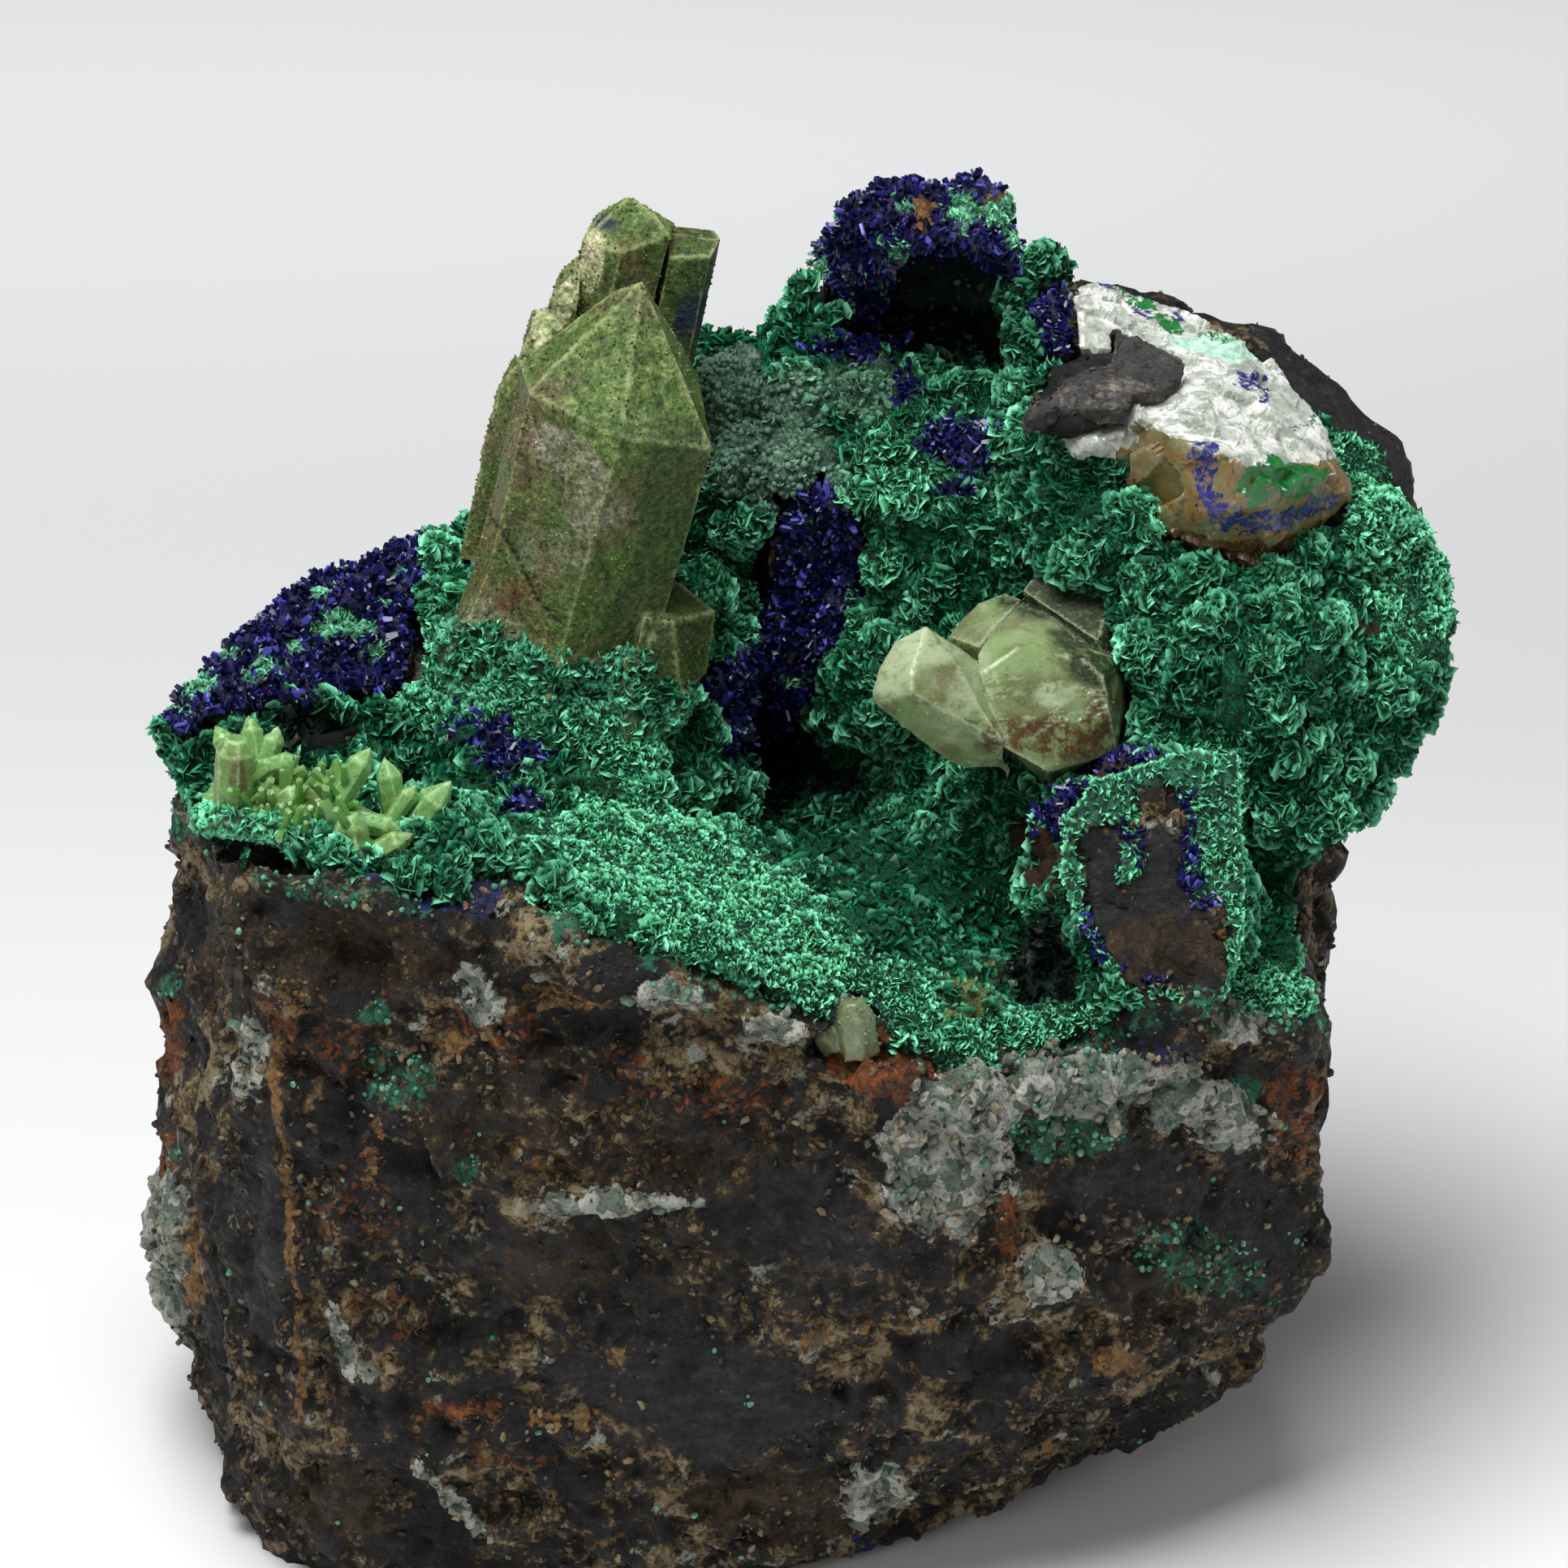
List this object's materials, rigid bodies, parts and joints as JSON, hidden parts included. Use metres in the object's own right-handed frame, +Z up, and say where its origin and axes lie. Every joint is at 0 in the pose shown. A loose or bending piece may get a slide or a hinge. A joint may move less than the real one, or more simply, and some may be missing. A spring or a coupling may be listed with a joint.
{
  "type": "azurite and malachite specimen",
  "caption": "Broken block of dark matrix with an open hollow lined by malachite, azurite on its rims, and quartz crystals standing in it.",
  "frame": {"origin": "middle of the bounding box's footprint, at the level of the flat base", "axes": "+Z up, -Y towards the side that the hollow opens to, +X to the right of someone who looks into the hollow"},
  "size_m": [0.0616, 0.0418, 0.0586],
  "materials": {
    "matrix_rock": "dark limonitic rock, rough broken",
    "malachite": "velvety crust of fine blades",
    "azurite": "deep blue, small glassy crystals",
    "olive_quartz": "quartz with a green and tan drusy skin",
    "green_quartz": "translucent green quartz",
    "spray_quartz": "translucent apple green quartz",
    "white_quartz": "glassy white quartz, broken",
    "rim_quartz": "pale translucent quartz"
  },
  "bodies": {
    "root": {"matrix_rock": "matrix_rock", "malachite_crust": "malachite", "azurite_left_rim": "azurite", "azurite_crown": "azurite", "azurite_tuft": "azurite", "azurite_band": "azurite", "quartz_points": "olive_quartz", "side_quartz_pair": "green_quartz", "small_quartz_spray": "spray_quartz", "white_quartz_vein": "white_quartz", "rim_quartz": "rim_quartz"}
  },
  "joints": []
}
